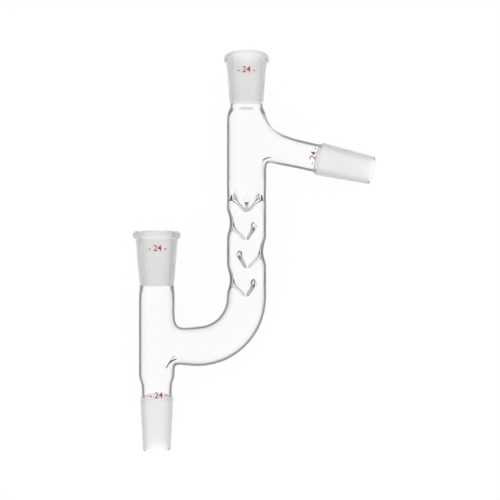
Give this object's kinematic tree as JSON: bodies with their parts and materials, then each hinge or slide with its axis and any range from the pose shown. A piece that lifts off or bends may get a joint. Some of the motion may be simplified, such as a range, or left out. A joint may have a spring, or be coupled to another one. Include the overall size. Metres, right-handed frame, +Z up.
{
  "type": "distillation head",
  "caption": "Glass distillation head in one piece: ground sockets on a straight leg and an indented column, and ground cones at the leg's foot and on a sloping side arm.",
  "frame": {"origin": "on the bench, under the middle of the head's box as it lies on its side", "axes": "+Y runs up the leg and the column, +X from the leg to the side arm, and +Z up off the bench, square to the plane that holds every tube's axis"},
  "size_m": [0.175, 0.2854, 0.0346],
  "materials": {
    "borosilicate_glass": "clear, with the four taper joints ground to a fine white frost",
    "red_ink": "thin fired ink, for the joint sizes on the glass"
  },
  "bodies": {
    "root": {"distillation_head": "borosilicate_glass"}
  },
  "joints": []
}
